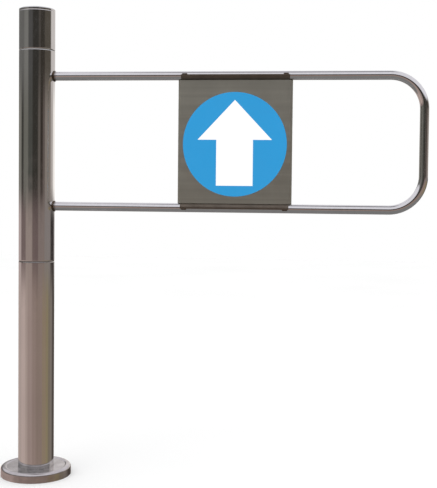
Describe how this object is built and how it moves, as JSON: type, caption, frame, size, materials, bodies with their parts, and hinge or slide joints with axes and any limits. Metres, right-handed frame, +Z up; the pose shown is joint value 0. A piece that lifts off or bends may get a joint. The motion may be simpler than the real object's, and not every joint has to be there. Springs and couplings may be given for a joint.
{
  "type": "visitor entrance swing gate",
  "caption": "One-way swing gate: floor post, sprung tube arm with an arrow sign, and a stroke counter under the lift-off head.",
  "frame": {"origin": "on the floor, on the post's axis, at the middle of the circle of anchor holes", "axes": "+Z up the post, +X along the closed arm, +Y the way visitors walk through"},
  "size_m": [0.9, 0.15, 1],
  "materials": {
    "polished_stainless": "polished stainless steel tube with a fine lengthwise grain",
    "pressed_stainless": "pressed and polished stainless sheet",
    "panel_stainless": "brushed stainless sheet",
    "weld_metal": "brushed weld bead, slightly heat tinted",
    "floor_plate_steel": "laser-cut stainless plate",
    "machined_steel": "turned steel with fine tool marks",
    "bearing_steel": "ground bearing steel",
    "bearing_cage_brass": "turned brass cage",
    "sintered_bronze": "oil-filled sintered bronze",
    "spring_steel": "oil-tempered spring wire",
    "black_oxide": "black oxide on steel",
    "bumper_rubber": "black rubber",
    "slip_nylon": "dark nylon slip ring",
    "cam_aluminium": "machined aluminium",
    "counter_shell": "dark hammered enamel on die-cast metal",
    "counter_metal": "zinc-plated steel",
    "figure_plastic": "white figure wheels",
    "knob_plastic": "black moulded plastic",
    "clear_window": "clear window",
    "blue_film": "blue self-adhesive film",
    "white_film": "white self-adhesive film"
  },
  "bodies": {
    "post": {"base_plate": "floor_plate_steel", "base_weld": "weld_metal", "post_tube": "polished_stainless", "mast_plugs": "machined_steel", "mast": "machined_steel", "spacer": "machined_steel", "seam_ring_low": "slip_nylon", "low_bearing_inner": "bearing_steel", "top_bearing_inner": "bearing_steel", "mast_nut": "black_oxide", "spring_collar": "machined_steel", "set_screws": "black_oxide", "return_spring": "spring_steel", "stop_collar": "machined_steel", "stop_bolt": "black_oxide", "stop_bumpers": "bumper_rubber", "plunger_spring": "spring_steel", "plunger_bush": "sintered_bronze", "seam_ring_top": "slip_nylon", "head_base": "machined_steel", "head_seal": "bumper_rubber", "counter_bracket": "counter_metal", "counter_case": "counter_shell", "counter_window": "clear_window", "counter_screws": "counter_metal"},
    "gate": {"gate_sleeve": "polished_stainless", "arm_tube": "polished_stainless", "arm_welds": "weld_metal", "sign_panel": "panel_stainless", "panel_ends": "panel_stainless", "panel_saddles": "panel_stainless", "panel_tacks": "weld_metal", "sign_disc": "blue_film", "sign_arrow": "white_film", "low_housing": "machined_steel", "low_bearing_outer": "bearing_steel", "low_bearing_seals": "bumper_rubber", "top_housing": "machined_steel", "top_bearing_outer": "bearing_steel", "limit_ring": "machined_steel", "spring_ring": "machined_steel", "count_cam": "cam_aluminium", "cam_screws": "black_oxide"},
    "low_bearing_set": {"low_bearing_cage": "bearing_cage_brass", "low_bearing_balls": "bearing_steel"},
    "top_bearing_set": {"top_bearing_cage": "bearing_cage_brass", "top_bearing_balls": "bearing_steel"},
    "plunger": {"plunger": "counter_metal", "plunger_pad": "bumper_rubber", "roller_pin": "machined_steel"},
    "roller": {"cam_roller": "bearing_steel"},
    "lever": {"counter_lever": "counter_metal"},
    "units_wheel": {"units_wheel": "figure_plastic"},
    "tens_wheel": {"tens_wheel": "figure_plastic"},
    "upper_wheels": {"upper_wheels": "figure_plastic"},
    "reset_shaft": {"counter_shaft": "counter_metal", "reset_knob": "knob_plastic"},
    "head": {"head_sleeve": "polished_stainless", "head_cap": "polished_stainless"},
    "base_cover": {"base_cover": "pressed_stainless"}
  },
  "joints": [
    {"name": "gate_swing", "type": "hinge", "parent": "post", "child": "gate", "pos_m": [0, 0, 0.72], "axis": [0, 0, 1], "range_deg": [0, 90], "stiffness_Nm_per_rad": 1.5, "springref_deg": -57.3, "deforming": ["return_spring"]},
    {"name": "low_bearing_roll", "type": "hinge", "parent": "post", "child": "low_bearing_set", "pos_m": [0, 0, 0.4795], "axis": [0, 0, 1], "range_deg": [0, 52]},
    {"name": "top_bearing_roll", "type": "hinge", "parent": "post", "child": "top_bearing_set", "pos_m": [0, 0, 0.8745], "axis": [0, 0, 1], "range_deg": [0, 53]},
    {"name": "plunger_lift", "type": "slide", "parent": "post", "child": "plunger", "axis": [0, 0, 1], "range_m": [0, 0.008], "deforming": ["plunger_spring"]},
    {"name": "roller_turn", "type": "hinge", "parent": "plunger", "child": "roller", "pos_m": [-0.01909, -0.01909, 0.8925], "axis": [-0.7071, -0.7071, 0], "range_deg": [0, 695]},
    {"name": "lever_swing", "type": "hinge", "parent": "post", "child": "lever", "pos_m": [-0.00309, 0.00391, 0.9505], "axis": [0, 1, 0], "range_deg": [0, 29]},
    {"name": "units_turn", "type": "hinge", "parent": "post", "child": "units_wheel", "pos_m": [-0.00309, 0.00391, 0.9505], "axis": [0, 1, 0], "range_deg": [0, 36]},
    {"name": "reset_turn", "type": "hinge", "parent": "post", "child": "reset_shaft", "pos_m": [-0.00309, 0.00391, 0.9505], "axis": [0, 1, 0], "range_deg": [0, 360]},
    {"name": "tens_turn", "type": "hinge", "parent": "post", "child": "tens_wheel", "pos_m": [-0.00309, 0.00391, 0.9505], "axis": [0, 1, 0], "range_deg": [0, 360]},
    {"name": "upper_turn", "type": "hinge", "parent": "post", "child": "upper_wheels", "pos_m": [-0.00309, 0.00391, 0.9505], "axis": [0, 1, 0], "range_deg": [0, 360]},
    {"name": "head_lift", "type": "slide", "parent": "post", "child": "head", "axis": [0, 0, 1], "range_m": [0, 0.08]},
    {"name": "cover_lift", "type": "slide", "parent": "post", "child": "base_cover", "axis": [0, 0, 1], "range_m": [0, 0.08]}
  ],
  "couplings": [
    {"joint": "low_bearing_roll", "follows": "gate_swing", "ratio": 0.57389},
    {"joint": "top_bearing_roll", "follows": "gate_swing", "ratio": 0.58259},
    {"joint": "plunger_lift", "follows": "gate_swing", "m_per_rad": 0.00509},
    {"joint": "roller_turn", "follows": "gate_swing", "ratio": 7.714},
    {"joint": "lever_swing", "follows": "gate_swing", "ratio": 0.32167},
    {"joint": "units_turn", "follows": "gate_swing", "ratio": 0.4},
    {"joint": "tens_turn", "follows": "reset_turn", "ratio": 1},
    {"joint": "upper_turn", "follows": "reset_turn", "ratio": 1}
  ]
}
